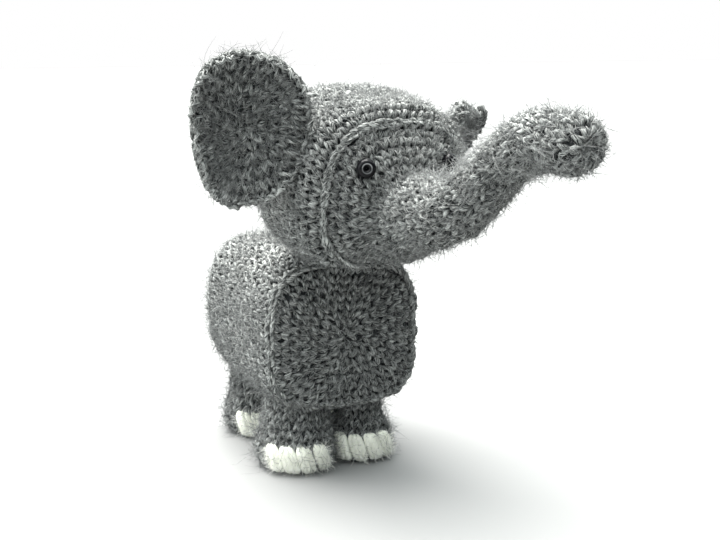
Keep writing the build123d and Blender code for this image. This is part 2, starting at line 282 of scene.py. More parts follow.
def make_piece(name, parts, materials):
    """One mesh object from parts, each (shape, material number, shade per tube).

    The bake map gives every tube its own cell of a square grid."""
    cells = sum(shape["count"] for shape, _, _ in parts)
    across = int(np.ceil(np.sqrt(cells)))
    points, corners, sizes, slots, yarns, bakes, shades = [], [], [], [], [], [], []
    base, first_cell = 0, 0
    for shape, slot, shade in parts:
        points.append(shape["points"])
        for faces, yarn, cell, number in zip(shape["faces"], shape["yarn"], shape["cell"], shape["number"]):
            corners.append((faces + base).ravel())
            sizes.append(np.full(len(faces), faces.shape[1]))
            slots.append(np.full(len(faces), slot))
            yarns.append(yarn)
            where = first_cell + number
            corner = np.stack([where % across, where // across], -1)
            bakes.append((corner + 0.08 + 0.84 * cell) / across)
            shades.append(np.broadcast_to(shade, (shape["count"],))[number])
        base += len(shape["points"])
        first_cell += shape["count"]
    points, corners, sizes = np.concatenate(points), np.concatenate(corners), np.concatenate(sizes)
    points[:, 2] = np.maximum(points[:, 2], JUST_ABOVE_FLOOR)
    mesh = bpy.data.meshes.new(name)
    mesh.vertices.add(len(points))
    mesh.vertices.foreach_set("co", (points * MM).astype(np.float32).ravel())
    mesh.loops.add(len(corners))
    mesh.loops.foreach_set("vertex_index", corners.astype(np.int32))
    mesh.polygons.add(len(sizes))
    mesh.polygons.foreach_set("loop_start", np.r_[0, np.cumsum(sizes)[:-1]].astype(np.int32))
    mesh.polygons.foreach_set("material_index", np.concatenate(slots).astype(np.int32))
    mesh.polygons.foreach_set("use_smooth", np.ones(len(sizes), bool))
    for layer, values in (("Yarn", yarns), ("OFBake", bakes)):
        uv = mesh.uv_layers.new(name=layer)
        uv.uv.foreach_set("vector", np.concatenate(values).astype(np.float32).ravel())
    tone = mesh.attributes.new("Shade", "FLOAT", "CORNER")
    tone.data.foreach_set("value", np.concatenate(shades).astype(np.float32))
    mesh.update(calc_edges=True)
    mesh.validate()
    for material in materials:
        mesh.materials.append(material)
    piece = bpy.data.objects.new(name, mesh)
    scene.collection.objects.link(piece)
    return piece


def fibre_group():
    """Wool seen close: streaks of light and dark fibre that lie along a twisted yarn.

    The streaks are noise at (cos, sin, length) of the turn round the yarn plus its twist."""
    group = bpy.data.node_groups.new("Heathered_fibre", "ShaderNodeTree")
    inputs = {"Dark": "NodeSocketColor", "Light": "NodeSocketColor", "Pale hairs": "NodeSocketFloat"}
    for name, kind in inputs.items():
        group.interface.new_socket(name=name, in_out="INPUT", socket_type=kind)
    for name, kind in (("Color", "NodeSocketColor"), ("Height", "NodeSocketFloat")):
        group.interface.new_socket(name=name, in_out="OUTPUT", socket_type=kind)
    inside, outside = add(group, "NodeGroupInput").outputs, add(group, "NodeGroupOutput").inputs
    yarn = add(group, "ShaderNodeUVMap", uv_map="Yarn")
    place = add(group, "ShaderNodeSeparateXYZ", {0: yarn.outputs["UV"]}).outputs
    tone = add(group, "ShaderNodeAttribute", attribute_name="Shade").outputs["Fac"]

    def maths(operation, *values, **settings):
        return add(group, "ShaderNodeMath", dict(enumerate(values)), operation=operation, **settings).outputs[0]

    def stretched(value, sockets):
        return add(group, "ShaderNodeMapRange", {"Value": value, **sockets}).outputs["Result"]

    def blend_of(share, first, second):
        sockets = {"Factor": share, "A": first, "B": second}
        return add(group, "ShaderNodeMix", sockets, data_type="RGBA").outputs["Result"]

    slanted = maths("MULTIPLY_ADD", place["Y"], 1.0, maths("MULTIPLY", place["X"], 1.6))
    turn = maths("MULTIPLY", slanted, 2 * np.pi)
    along = maths("MULTIPLY_ADD", tone, 37.0, maths("MULTIPLY", place["X"], 2.6))
    where = add(
        group, "ShaderNodeCombineXYZ", {0: maths("COSINE", turn), 1: maths("SINE", turn), 2: along}
    ).outputs[0]
    streaks = add(
        group, "ShaderNodeTexNoise", {"Vector": where, "Scale": 1.9, "Detail": 3.0, "Roughness": 0.7}
    ).outputs["Fac"]
    fine = add(group, "ShaderNodeTexNoise", {"Vector": where, "Scale": 4.5, "Detail": 2.0}).outputs["Fac"]
    spread = stretched(streaks, {"From Min": 0.43, "From Max": 0.63})
    toned = maths("MULTIPLY", spread, stretched(tone, {"To Min": 0.35, "To Max": 1.3}), use_clamp=True)
    base = blend_of(toned, inside["Dark"], inside["Light"])
    pale = maths("MULTIPLY", stretched(fine, {"From Min": 0.58, "From Max": 0.66}), inside["Pale hairs"])
    link(group, blend_of(pale, base, (0.66, 0.67, 0.65, 1)), outside["Color"])
    link(group, streaks, outside["Height"])
    return group


heathered = fibre_group()


def wool(name, dark, light, pale_hairs, sheen, depth):
    """A matt wool with the fibre group's colour and relief (depth in mm), and a soft sheen."""
    material = bpy.data.materials.new(name)
    material.use_nodes = True
    tree = material.node_tree
    shader = tree.nodes["Principled BSDF"].inputs
    colours = {"Dark": (*dark, 1), "Light": (*light, 1), "Pale hairs": pale_hairs}
    fibre = add(tree, "ShaderNodeGroup", colours, node_tree=heathered)
    relief = add(
        tree, "ShaderNodeBump", {"Strength": 0.7, "Distance": depth * MM, "Height": fibre.outputs["Height"]}
    )
    shader["Roughness"].default_value = 0.9
    shader["Specular IOR Level"].default_value = 0.25
    shader["Sheen Weight"].default_value = sheen
    shader["Sheen Roughness"].default_value = 0.45
    link(tree, fibre.outputs["Color"], shader["Base Color"])
    link(tree, relief.outputs["Normal"], shader["Normal"])
    return material


charcoal_wool = wool("Charcoal_wool", (0.004, 0.0058, 0.0065), (0.46, 0.478, 0.465), 0.75, 0.04, 0.4)
# Painted shade: a near-black wool for the skin under the stitches, so that the gaps between them look shaded
shade_backing_wool = wool("Painted_shade_between_stitches", (0.006, 0.0075, 0.009), (0.05, 0.054, 0.056), 0.1, 0.0, 0.2)
fuzz_wool = wool("Wool_fuzz", (0.06, 0.065, 0.068), (0.60, 0.615, 0.60), 0.3, 0.0, 0.0)

STITCH_WIDTH = 2.4
ROUND_HEIGHT = 2.65
# One leg of a stitch: across the stitch, along the work (shares of its size), height, radius
LEG = np.array([
    (0.03, -0.52, -0.60, 0.36),
    (0.13, -0.27, 0.22, 0.60),
    (0.27, 0.00, 0.46, 0.68),
    (0.40, 0.26, 0.24, 0.60),
    (0.50, 0.52, -0.60, 0.36),
])


def stitches(skin, begin, end, seed, raised=None, keep=None):
    """Rounds of V-shaped stitches on a skin, from one run to another.

    Each leg follows LEG, laid on the skin about its stitch's place, with a little unevenness.
    raised(run) adds height, and keep(points) leaves out stitches that nothing shows."""
    rng = np.random.default_rng(seed)
    rounds = max(1, int(round((end - begin) / ROUND_HEIGHT)))
    step = (end - begin) / rounds
    rows = begin + step * (np.arange(rounds) + 0.5)
    girths = skin.girth(rows)
    run, share, size = [], [], []
    for k in range(rounds):
        count = max(4, int(round(girths[k] / STITCH_WIDTH)))
        run.append(np.full(count, rows[k]) + step * np.arange(count) / count - step / 2)
        share.append((np.arange(count) + 0.5 * (k % 2) + 0.13 * k) / count)
        size.append(np.full(count, 1.0 / count))
    run, share, size = np.concatenate(run), np.concatenate(share), np.concatenate(size)
    if keep is not None:
        shown = keep(skin.at(run, share))
        run, share, size = run[shown], share[shown], size[shown]
    count = len(run)
    across = np.concatenate([np.full(count, -1.0), np.full(count, 1.0)])
    run, share, size = np.tile(run, 2), np.tile(share, 2), np.tile(size, 2)
    sway = np.tile(rng.normal(0, 0.09, (2, count)), 2)
    sway += rng.normal(0, 0.05, sway.shape)
    lift = rng.normal(0, 0.12, 2 * count)
    if raised is not None:
        lift = lift + raised(run)
    where_run = run[:, None] + (LEG[:, 1] + sway[1][:, None]) * step
    where_share = share[:, None] + (LEG[:, 0] * across[:, None] + sway[0][:, None]) * size[:, None]
    _, _, outward = skin.axes(where_run, where_share)
    paths = skin.at(where_run, where_share) + outward * (LEG[:, 2] + lift[:, None])[..., None]
    radii = LEG[:, 3] * rng.uniform(0.85, 1.15, (2 * count, 1))
    tone = 0.5 + 0.35 * lumps(paths[:, 2], 9.0, seed) + rng.uniform(-0.35, 0.35, 2 * count)
    return tubes(paths, outward, radii, 5, rng.uniform(0, 400, 2 * count)), np.clip(tone, 0, 1)


# One side of a chain loop: along the ring (shares of a loop), aside, height (mm), radius (mm)
LOOP = np.array([
    (-0.42, 0.10, -0.10, 0.34),
    (-0.05, 0.50, 0.62, 0.55),
    (0.35, 0.78, 0.85, 0.62),
    (0.75, 0.52, 0.70, 0.56),
    (1.05, 0.08, 0.10, 0.36),
])
LOOP_LENGTH = 2.5
LOOP_RISE = 0.35


def chain(skin, run, seed):
    """A ring of chain loops along a ridge: two yarns part and meet again over each loop."""
    rng = np.random.default_rng(seed)
    count = max(6, int(round(skin.girth(np.array([run]))[0] / LOOP_LENGTH)))
    aside = np.repeat([-1.0, 1.0], count)[:, None]
    start = np.tile(np.arange(count) + rng.normal(0, 0.08, count), 2)[:, None]
    sway = rng.normal(0, 0.2, (2 * count, 1))
    where_run = np.broadcast_to(run + aside * LOOP[:, 1] * 0.85 + sway, (2 * count, len(LOOP)))
    where_share = (start + LOOP[:, 0]) / count
    _, _, outward = skin.axes(where_run, where_share)
    paths = skin.at(where_run, where_share) + outward * (LOOP[:, 2] + LOOP_RISE + sway)[..., None]
    radii = LOOP[:, 3] * rng.uniform(0.9, 1.15, (2 * count, 1))
    return tubes(paths, outward, radii, 5, rng.uniform(0, 400, 2 * count)), rng.uniform(0.2, 1, 2 * count)


def backing(skin, begin, end, columns=72, step=2.0, sink=0.35):
    """The plain skin just under the stitches, closed at both ends."""
    rows = np.linspace(begin, end, max(4, int((end - begin) / step)))
    share = np.arange(columns) / columns
    run_grid, share_grid = np.meshgrid(rows, share, indexing="ij")
    _, _, outward = skin.axes(run_grid, share_grid)
    points = skin.at(run_grid, share_grid) - sink * outward
    shape = patch(points, True)
    ends = np.stack([np.arange(columns), (len(rows) - 1) * columns + np.arange(columns)[::-1]])
    shape["faces"].append(ends)
    shape["yarn"].append(np.zeros((2 * columns, 2)))
    shape["cell"].append(np.zeros((2 * columns, 2)) + 0.5)
    shape["number"].append(np.zeros(2 * columns, int))
    return shape


HAIR_LENGTH = 2.1
HAIR_RADIUS = 0.052
STRAY_RADIUS = 0.050
HAIRS_PER_PIECE = 7500
HAIRS_PER_STRAY = 11


def fuzz(skin, count, begin, end, seed, keep=None, stray=False):
    """Loose hairs: thin tapered tubes that start on a skin, lean over and curl.

    A hair's points are its root plus t times a lean plus t squared times a curl. A stray hair is
    a long one that lies close to the wool and bends sideways."""
    rng = np.random.default_rng(seed)
    rows = np.linspace(begin, end, 160)
    weight = np.cumsum(skin.girth(rows) + 1e-6)
    run = np.interp(rng.uniform(weight[0], weight[-1], count), weight, rows)
    share = rng.uniform(0, 1, count)
    if keep is not None:
        shown = keep(skin.at(run, share))
        run, share = run[shown], share[shown]
        count = len(run)
    round_way, along_way, outward = skin.axes(run, share)
    turn = rng.uniform(0, 2 * np.pi, count)[:, None]
    flat = np.cos(turn) * round_way + np.sin(turn) * along_way
    aside = np.cos(turn) * along_way - np.sin(turn) * round_way
    if stray:
        length = rng.uniform(2.5, 8.5, count)
        lean = unit(flat + outward * rng.uniform(0.0, 0.75, (count, 1)) ** 1.5)
        curl = aside * rng.uniform(-1.5, 1.5, (count, 1)) - outward * rng.uniform(0.0, 0.6, (count, 1))
        start, thick, steps = rng.uniform(0.8, 1.3, (count, 1)), STRAY_RADIUS, 9
    else:
        length = HAIR_LENGTH * rng.gamma(3.0, 0.33, count)
        lean = unit(flat * rng.uniform(0.6, 1.3, (count, 1)) + outward * rng.uniform(0.15, 1.25, (count, 1)))
        curl = unit(rng.normal(size=(count, 3))) * rng.uniform(0.2, 0.9, (count, 1))
        start, thick, steps = rng.uniform(0.4, 1.0, (count, 1)), HAIR_RADIUS, 4
    t = np.linspace(0, 1, steps)[None, :, None]
    root = skin.at(run, share) + outward * start
    paths = root[:, None] + length[:, None, None] * (t * lean[:, None] + t * t * curl[:, None])
    paths[..., 2] = np.maximum(paths[..., 2], 0.15)
    radii = thick * (1 - 0.6 * np.linspace(0, 1, steps) ** 2) + np.zeros((count, 1))
    hidden = np.broadcast_to(unit(rng.normal(size=(count, 1, 3))), paths.shape)
    return tubes(paths, hidden, radii, 3, rng.uniform(0, 400, count)), rng.uniform(0, 1, count) ** 2


def bag_outline(front, rear, front_edge, rear_edge, half, front_dome, rear_dome, swell):
    """(out, along) of a squared bag: a domed panel, a rounded edge, swelling sides, and back."""
    t = np.linspace(0, 1, 24)
    lip, tail = 1 - front_edge / half, 1 - rear_edge / half
    panel = np.stack([lip * t, front - front_dome * (1 - t**2)], -1)
    quarter = t * np.pi / 2
    edge = np.stack([lip + (1 - lip) * np.sin(quarter), front + front_edge * (1 - np.cos(quarter))], -1)
    side_length = rear - rear_edge - front - front_edge
    sides = np.stack([1 + swell * np.sin(np.pi * t), front + front_edge + side_length * t], -1)
    turn = np.stack([tail + (1 - tail) * np.cos(quarter), rear - rear_edge * (1 - np.sin(quarter))], -1)
    back = np.stack([tail * (1 - t), rear + rear_dome * (1 - (1 - t) ** 2)], -1)
    return np.concatenate([panel, edge[1:], sides[1:], turn[1:], back[1:]])


# The tops of the stitches stand this far above the skin that they are laid on
PROUD = 0.9
body_low, body_high = (np.array(corner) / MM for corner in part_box("body_cover"))
BODY_MIDDLE = (body_low + body_high) / 2
BODY_HALF = (body_high - body_low) / 2 - PROUD
BODY_POWER = 3.6
NECK_AT = joint_at["neck_turn"]


def body_place(out, share, along):
    """The body: a rounded square of half size out, across Y at along, with soft lumps."""
    x, z = squared_ring(share, BODY_POWER)
    points = np.stack(
        np.broadcast_arrays(
            BODY_MIDDLE[0] + BODY_HALF[0] * out * x,
            along,
            BODY_MIDDLE[2] + (BODY_HALF[2] + 0.3) * out * z,
        ),
        -1,
    )
    points = points + 0.35 * lumps(points, 16.0, 5)[..., None] * unit(points - BODY_MIDDLE)
    # The rump is fuller at its sides and on top, and the left flank is a little flatter
    back = np.clip((points[..., 1] - BODY_MIDDLE[1] + 5) / 24, 0, 1)
    level = 1 - np.clip(np.abs(points[..., 2] - 41) / 20, 0, 1) ** 2
    points[..., 0] += 2.1 * back * level * (points[..., 0] - BODY_MIDDLE[0]) / BODY_HALF[0]
    points[..., 2] += 1.8 * back * np.clip((points[..., 2] - 50) / 8, 0, 1)
    points[..., 0] -= 1.0 * np.clip((points[..., 0] - BODY_MIDDLE[0]) / BODY_HALF[0], 0, 1)
    # The back dips where the head is sewn on
    from_neck = np.linalg.norm(points[..., :2] - NECK_AT[:2], axis=-1)
    ceiling = NECK_AT[2] - 2.2 + 2.2 * np.clip((from_neck - 9) / 16, 0, 1)
    points[..., 2] = np.minimum(points[..., 2], ceiling)
    return points


body_outline = bag_outline(
    body_low[1] + PROUD + 0.6, body_high[1] - PROUD - 2.0, 5.5, 14.0, BODY_HALF[0], 0.6, 2.0, 0.012
)
body_skin = Skin(body_outline, body_place, BODY_HALF[0])

FOOT_RADIUS = 11.4
# The legs' own upright middle lines: each box ends at the plane where the legs press together
LEG_SPOTS = {}
for end in ("front", "rear"):
    for side in ("right", "left"):
        low, high = (np.array(corner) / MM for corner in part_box(f"leg_cover_{end}_{side}"))
        outer = low[0] + FOOT_RADIUS if side == "right" else high[0] - FOOT_RADIUS
        LEG_SPOTS[f"{end}_{side}"] = np.array([outer, (low[1] + high[1]) / 2])


# A leg, or the neck's seam, covers the wool this far from its own middle
COVERED = 7.5


def off_the_legs(points):
    """True where the belly isn't covered by a leg, nor the back by the head's seam."""
    shown = np.ones(points.shape[:-1], bool)
    for spot in LEG_SPOTS.values():
        near = np.linalg.norm(points[..., :2] - spot, axis=-1) < COVERED
        shown &= ~(near & (points[..., 2] < BODY_MIDDLE[2]))
    near_neck = np.linalg.norm(points[..., :2] - NECK_AT[:2], axis=-1) < COVERED
    return shown & ~(near_neck & (points[..., 2] > BODY_MIDDLE[2]))


CHEST_RIDGE = 22.0


def turned_under(run, ridge, dip):
    """Height at a panel's edge: a raised bell curve at ridge, less a dip just inside it."""
    return 0.45 * np.exp(-(((run - ridge) / 1.3) ** 2)) - dip * np.exp(-(((run - ridge + 2.6) / 1.2) ** 2))


def chest_ridge(run):
    """The chest panel is turned under at its edge, so that the stitches inside it lie lower."""
    return turned_under(run, CHEST_RIDGE, 0.5)


# The head rubs the wool above this height and ahead of this depth, the tail this much each side
# of itself, up to this far ahead of its root
HEAD_RUBS_ABOVE, HEAD_RUBS_TO = 56, 42
TAIL_RUBS_ASIDE, TAIL_RUBS_AHEAD = 6, 14


def off_the_neck(points):
    """True for the hairs that neither the head nor the tail rubs away as they move."""
    under_head = (points[..., 2] > HEAD_RUBS_ABOVE) & (points[..., 1] < HEAD_RUBS_TO)
    tail = joint_at["tail_swing"]
    beside_tail = np.abs(points[..., 0] - tail[0]) < TAIL_RUBS_ASIDE
    under_tail = beside_tail & (points[..., 1] > tail[1] - TAIL_RUBS_AHEAD)
    return off_the_legs(points) & ~under_head & ~under_tail


def dress(name, skin, begin, end, seed, body, keep=None, raised=None, nodes=(), hairs=0,
          blend=None, chains=(), hairy=None):
    """A crocheted cover on a skin, with its fuzz as further pieces, all on one body unless blend is given.

    keep and hairy say where stitches and hairs show, chains are the runs of its raised rings, and
    blend is (first body, second body, start, end) for a cover that crosses a joint: then the pieces
    go on no body and their places are baked into their meshes, and what blend holds is not used."""
    worked, tone = stitches(skin, begin, end, seed, raised, keep)
    loops = [chain(skin, run, seed + 7) for run in chains]
    # The backing wears the near-black wool: painted shade in the gaps between the stitches
    under = backing(skin, max(begin - 0.7, 0.2), min(end + 0.7, skin.length - 0.2))
    cover = make_piece(
        f"{name}_crochet",
        [(under, 1, 0.3), (worked, 0, tone)] + [(loop, 0, loop_tone) for loop, loop_tone in loops],
        [charcoal_wool, shade_backing_wool],
    )
    made = [cover]
    for k in range(0, hairs, HAIRS_PER_PIECE):
        count = min(HAIRS_PER_PIECE, hairs - k)
        short = fuzz(skin, count, begin, end, seed + 1 + k, hairy or keep)
        stray = fuzz(skin, count // HAIRS_PER_STRAY, begin, end, seed + 2 + k, hairy or keep, stray=True)
        loose = [(hair, 0, hair_tone) for hair, hair_tone in (short, stray)]
        made.append(make_piece(f"{name}_fuzz_{k // HAIRS_PER_PIECE + 1}", loose, [fuzz_wool]))
    for piece in made:
        if blend is None:
            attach(piece, body)
    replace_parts(cover, *nodes)
    if blend is not None:
        for piece in made:
            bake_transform(piece)
    return cover


dress(
    "body_cover", body_skin, 1.0, body_skin.length - 1.0, 11, "torso",
    keep=off_the_legs, raised=chest_ridge, nodes=("body_cover", "body_stuffing"), hairs=15000,
    chains=(CHEST_RIDGE,), hairy=off_the_neck,
)


# ---------------------------------------------------------------- Legs and soles
# Four short stuffed tubes, worked upwards from a round flat sole. Each pair is sewn on close
# together, so the insides of the feet press flat against each other.
SOLE_TURN = 2.6
SOLE_HEIGHT = 1.08
LEG_TOP = 26.0
PRESSED = 1.3
LEG_MIDDLE = (LEG_SPOTS["front_right"][0] + LEG_SPOTS["front_left"][0]) / 2
# Each foot's own radius, and how much narrower its leg is at 0, 4, 8, 12, 17 mm and at the top
FOOT = {"front_right": 12.1, "front_left": 10.3, "rear_right": 10.6, "rear_left": 10.6}
LEG_TAPER = {
    "front_right": np.array([-0.3, 0.0, -0.5, -1.8, -3.0, -3.2]),
    "front_left": np.array([-0.3, -0.2, -1.4, -3.2, -3.8, -3.8]),
    "rear_right": np.array([-0.3, 0.0, -0.5, -1.6, -2.4, -2.6]),
    "rear_left": np.array([-0.3, 0.0, -0.5, -1.6, -2.4, -2.6]),
}


def inside_body(points, margin):
    """True where points are inside the body's squared form, made larger by margin."""
    x = np.abs(points[..., 0] - BODY_MIDDLE[0]) / (BODY_HALF[0] + margin)
    z = np.abs(points[..., 2] - BODY_MIDDLE[2]) / (BODY_HALF[2] + margin)
    along = np.abs(points[..., 1] - BODY_MIDDLE[1]) / (BODY_HALF[1] + margin)
    return (x**BODY_POWER + z**BODY_POWER < 1) & (along < 1)


def leg_skin(name, spot):
    """A leg from the middle of its sole outwards and up: round, and flat where two legs press."""
    inwards = np.sign(LEG_MIDDLE - spot[0])

    def place(out, share, along):
        angle = 2 * np.pi * share
        radius = (np.interp(along, [0, 4, 8, 12, 17, LEG_TOP], FOOT[name] + LEG_TAPER[name]) - PROUD) * out
        x, y, z = np.broadcast_arrays(spot[0] + radius * np.cos(angle), spot[1] - radius * np.sin(angle), along)
        reach = (LEG_MIDDLE - x) * inwards
        x = np.where(reach < PRESSED, LEG_MIDDLE - inwards * (PRESSED + 0.12 * (reach - PRESSED)), x)
        points = np.stack([x, y, z], -1)
        return points + 0.3 * lumps(points, 11.0, 6)[..., None] * np.array([1, 1, 0])

    t = np.linspace(0, 1, 16)
    floor_line = np.stack([t * (1 - SOLE_TURN / FOOT_RADIUS), SOLE_HEIGHT + 0 * t], -1)
    quarter = t * np.pi / 2
    turn = np.stack(
        [1 - SOLE_TURN / FOOT_RADIUS * (1 - np.sin(quarter)), SOLE_HEIGHT + SOLE_TURN * (1 - np.cos(quarter))],
        -1,
    )
    up = np.stack([1 + 0 * t, SOLE_HEIGHT + SOLE_TURN + (LEG_TOP - SOLE_HEIGHT - SOLE_TURN) * t], -1)
    return Skin(np.concatenate([floor_line, turn[1:], up[1:]]), place, FOOT_RADIUS - PROUD)


SOLE_RUN = 10.6
for number, (name, spot) in enumerate(LEG_SPOTS.items()):
    skin = leg_skin(name, spot)
    dress(
        f"sole_{name}", skin, 0.9, SOLE_RUN, 100 + number, "torso",
        nodes=(f"sole_{name}",), hairs=300,
    )
    dress(
        f"leg_{name}", skin, SOLE_RUN, skin.length - 0.6, 120 + number, "torso",
        keep=lambda points: ~inside_body(points, -0.8),
        nodes=(f"leg_cover_{name}", f"leg_stuffing_{name}"), hairs=2600,
    )


# ---------------------------------------------------------------- Toenails
# Each nail is one long upright stitch in thick cream yarn. Its three soft plies are twisted
# round each other, and both ends go down into the foot.
cream_wool = wool("Cream_wool", (0.86, 0.88, 0.77), (0.97, 0.98, 0.90), 0.1, 0.3, 0.2)
cream_fuzz_wool = wool("Cream_fuzz", (0.88, 0.88, 0.82), (0.97, 0.97, 0.93), 0.2, 0.3, 0.0)
NAIL_TURNED = {"front_right": -18.0, "front_left": -10.0, "rear_right": -2.0, "rear_left": -10.0}
NAIL_ANGLES = np.array([-37.5, -12.5, 12.5, 37.5])
NAIL_HAIRS = 1100
for number, (name, spot) in enumerate(LEG_SPOTS.items()):
    rng = np.random.default_rng(200 + number)
    t = np.linspace(-1, 1, 22)
    paths, radii = [], []
    for angle in np.radians(NAIL_ANGLES * FOOT_RADIUS / FOOT[name] + NAIL_TURNED[name]):
        out = np.array([np.sin(angle), -np.cos(angle), 0.0])
        right = np.cross([0, 0, 1], out)
        height = rng.uniform(-0.25, 0.25)
        swell = np.sqrt(np.clip(1 - np.abs(t) ** 3.6, 0, 1))
        spine = np.array([*spot, 0.0]) + np.outer(FOOT[name] - 1.9 + 1.1 * swell, out)
        spine[:, 2] += 4.45 + height + 3.75 * t
        for place in (-1.0, 0.0, 1.0):
            aside = place * (0.62 + 0.70 * swell) - 1.2 * t + rng.uniform(-0.15, 0.15)
            proud = 0.75 * swell * (1 - 0.5 * abs(place)) + rng.uniform(-0.1, 0.15)
            paths.append(spine + proud[:, None] * out + aside[:, None] * right)
            radii.append((0.34 + 0.66 * swell) * rng.uniform(0.92, 1.15))
    paths, radii = np.array(paths), np.array(radii)
    beside = unit(np.array([0.31, -0.9, 0.02]) + 0 * paths)
    plies = tubes(paths, beside, radii, 9, rng.uniform(0, 400, len(paths)))
    nails = make_piece(f"toenails_{name}_yarn", [(plies, 0, rng.uniform(0.3, 1, len(paths)))], [cream_wool])
    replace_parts(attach(nails, "torso"), f"toenails_{name}")
    roots = paths[:, 3:-3].reshape(-1, 3)
    chosen = roots[rng.integers(0, len(roots), NAIL_HAIRS)]
    away = unit(chosen - np.array([*spot, 4.0]) + rng.normal(0, 3.5, (NAIL_HAIRS, 3)))
    lean = unit(away + 0.7 * rng.normal(size=(NAIL_HAIRS, 3)))
    steps = np.linspace(0, 1, 5)[None, :, None]
    hairs = chosen[:, None] + 0.7 * away[:, None] + rng.uniform(0.6, 2.4, (NAIL_HAIRS, 1, 1)) * (
        steps * lean[:, None] + 0.5 * steps**2 * unit(rng.normal(size=(NAIL_HAIRS, 1, 3)))
    )
    hairs[..., 2] = np.maximum(hairs[..., 2], 0.2)
    thick = 0.05 * np.array([1.0, 1.0, 0.9, 0.75, 0.4]) + np.zeros((NAIL_HAIRS, 1))
    beside = unit(rng.normal(size=(NAIL_HAIRS, 1, 3))) + 0 * hairs
    down = tubes(hairs, beside, thick, 3, rng.uniform(0, 400, NAIL_HAIRS))
    nail_fuzz = make_piece(
        f"toenails_{name}_fuzz", [(down, 0, rng.uniform(0, 1, NAIL_HAIRS))], [cream_fuzz_wool]
    )
    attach(nail_fuzz, "torso")


# ---------------------------------------------------------------- Head
# The head is a second squared bag, worked in a spiral from the middle of the face. The domed
# face panel is turned under at its edge, which leaves a ridge, and the crown is rounded off.
HEAD_AT = np.array([1.767, 13.15, 84.3])
HEAD_YAW, HEAD_PITCH = np.radians(9.0), np.radians(10.3)
cos_yaw, sin_yaw = np.cos(HEAD_YAW), np.sin(HEAD_YAW)
cos_pitch, sin_pitch = np.cos(HEAD_PITCH), np.sin(HEAD_PITCH)
yaw = np.array([[cos_yaw, -sin_yaw, 0], [sin_yaw, cos_yaw, 0], [0, 0, 1]])
pitch = np.array([[1, 0, 0], [0, cos_pitch, -sin_pitch], [0, sin_pitch, cos_pitch]])
HEAD_AXES = yaw @ pitch
HEAD_HALF = np.array([24.9, 20.4, 23.3]) - PROUD
HEAD_POWER = 2.76
PANEL = 0.84
PANEL_FRONT, PANEL_BULGE = -29.8 + PROUD, 9.4
NOD_AT = joint_at["head_nod"]


def from_head(points):
    """Points in the head's own frame, put where the head is."""
    return points @ HEAD_AXES.T + HEAD_AT


def to_head(points):
    """Points where the head is, in the head's own frame."""
    return (points - HEAD_AT) @ HEAD_AXES


def head_place(out, share, along):
    """The head: a rounded square across its own Y, tilted, and flattened where it sits."""
    x, z = squared_ring(share, HEAD_POWER)
    local = np.stack(np.broadcast_arrays(HEAD_HALF[0] * out * x, along, HEAD_HALF[2] * out * z), -1)
    local = local + 0.4 * lumps(local, 17.0, 8)[..., None] * unit(local)
    points = from_head(local)
    ahead = (points - NOD_AT) @ np.array([np.sin(HEAD_YAW), -np.cos(HEAD_YAW), 0])
    seat = NOD_AT[2] + 1.1 + np.where(ahead > 0, 0.085 * ahead, -0.155 * ahead)
    chin = np.clip((ahead - 19.5) / 5.0, 0, 1)
    seat = seat * (1 - chin) + 61.2 * chin
    points[..., 2] = np.maximum(points[..., 2], seat + 0.06 * (points[..., 2] - seat))
    return points


t = np.linspace(0, 1, 30)
quarter = t * np.pi / 2
LIP = 0.875
panel_edge = PANEL_FRONT + PANEL_BULGE
CROWN_CURVE = 2 / 2.77
head_outline = np.concatenate([
    np.stack([PANEL * t, panel_edge - PANEL_BULGE * (1 - t**2)], -1),
    np.stack([PANEL + (LIP - PANEL) * t, panel_edge + 0.6 * t], -1)[1:],
    np.stack([LIP + (1 - LIP) * np.sin(quarter), panel_edge + 0.6 + 3.6 * (1 - np.cos(quarter))], -1)[1:],
    np.stack([1 + 0 * t, (panel_edge + 4.2) * (1 - t)], -1)[1:],
    np.stack([np.cos(quarter) ** CROWN_CURVE, HEAD_HALF[1] * np.sin(quarter) ** CROWN_CURVE], -1)[1:],
])
head_skin = Skin(head_outline, head_place, HEAD_HALF[0])
PANEL_RUN = float(np.interp(29, np.arange(len(head_outline)), head_skin.run))
TRUNK_ROOT = np.array([0.0, -26.0, -3.8])
TRUNK_ROOT_RADIUS = 9.0


def face_ridge(run):
    """The ring of loops where the face panel is turned under."""
    return turned_under(run, PANEL_RUN, 0.4)


def open_face(points):
    """True where the head's stitches aren't under the trunk, an eye or the neck's seam."""
    local = to_head(points)
    trunk = np.linalg.norm((local - TRUNK_ROOT)[..., [0, 2]], axis=-1) < TRUNK_ROOT_RADIUS
    seat = (np.linalg.norm(points[..., :2] - NECK_AT[:2], axis=-1) < COVERED) & (points[..., 2] < 70)
    covered = (trunk & (local[..., 1] < 0)) | seat
    for eye in ("eye_right", "eye_left"):
        covered |= np.linalg.norm(points - np.mean(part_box(eye), axis=0) / MM, axis=-1) < 2.7
    return ~covered


dress(
    "head_cover", head_skin, 1.0, head_skin.length - 1.0, 31, "head",
    keep=open_face, raised=face_ridge, nodes=("head_cover", "head_stuffing"), hairs=12000,
    chains=(PANEL_RUN,),
)


# ---------------------------------------------------------------- Neck seam
# The head is sewn down with a ring of close stitches in the same wool. The ring lets the head
# turn and nod a little on top of the body.
neck_low, neck_high = (np.array(corner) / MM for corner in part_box("neck_seam"))
NECK_RADIUS = (neck_high[0] - neck_low[0]) / 2 - PROUD


def neck_place(out, share, along):
    """An upright ring round the neck's middle."""
    angle = 2 * np.pi * share
    x = NECK_AT[0] + NECK_RADIUS * out * np.cos(angle)
    y = NECK_AT[1] - NECK_RADIUS * out * np.sin(angle)
    return np.stack(np.broadcast_arrays(x, y, along), -1)


neck_skin = Skin([(1.0, neck_low[2] - 1.4), (1.0, neck_high[2] + 1.6)], neck_place, NECK_RADIUS)
dress(
    "neck_seam", neck_skin, 0.4, neck_skin.length - 0.4, 41, "neck",
    nodes=("neck_seam",), hairs=500,
)
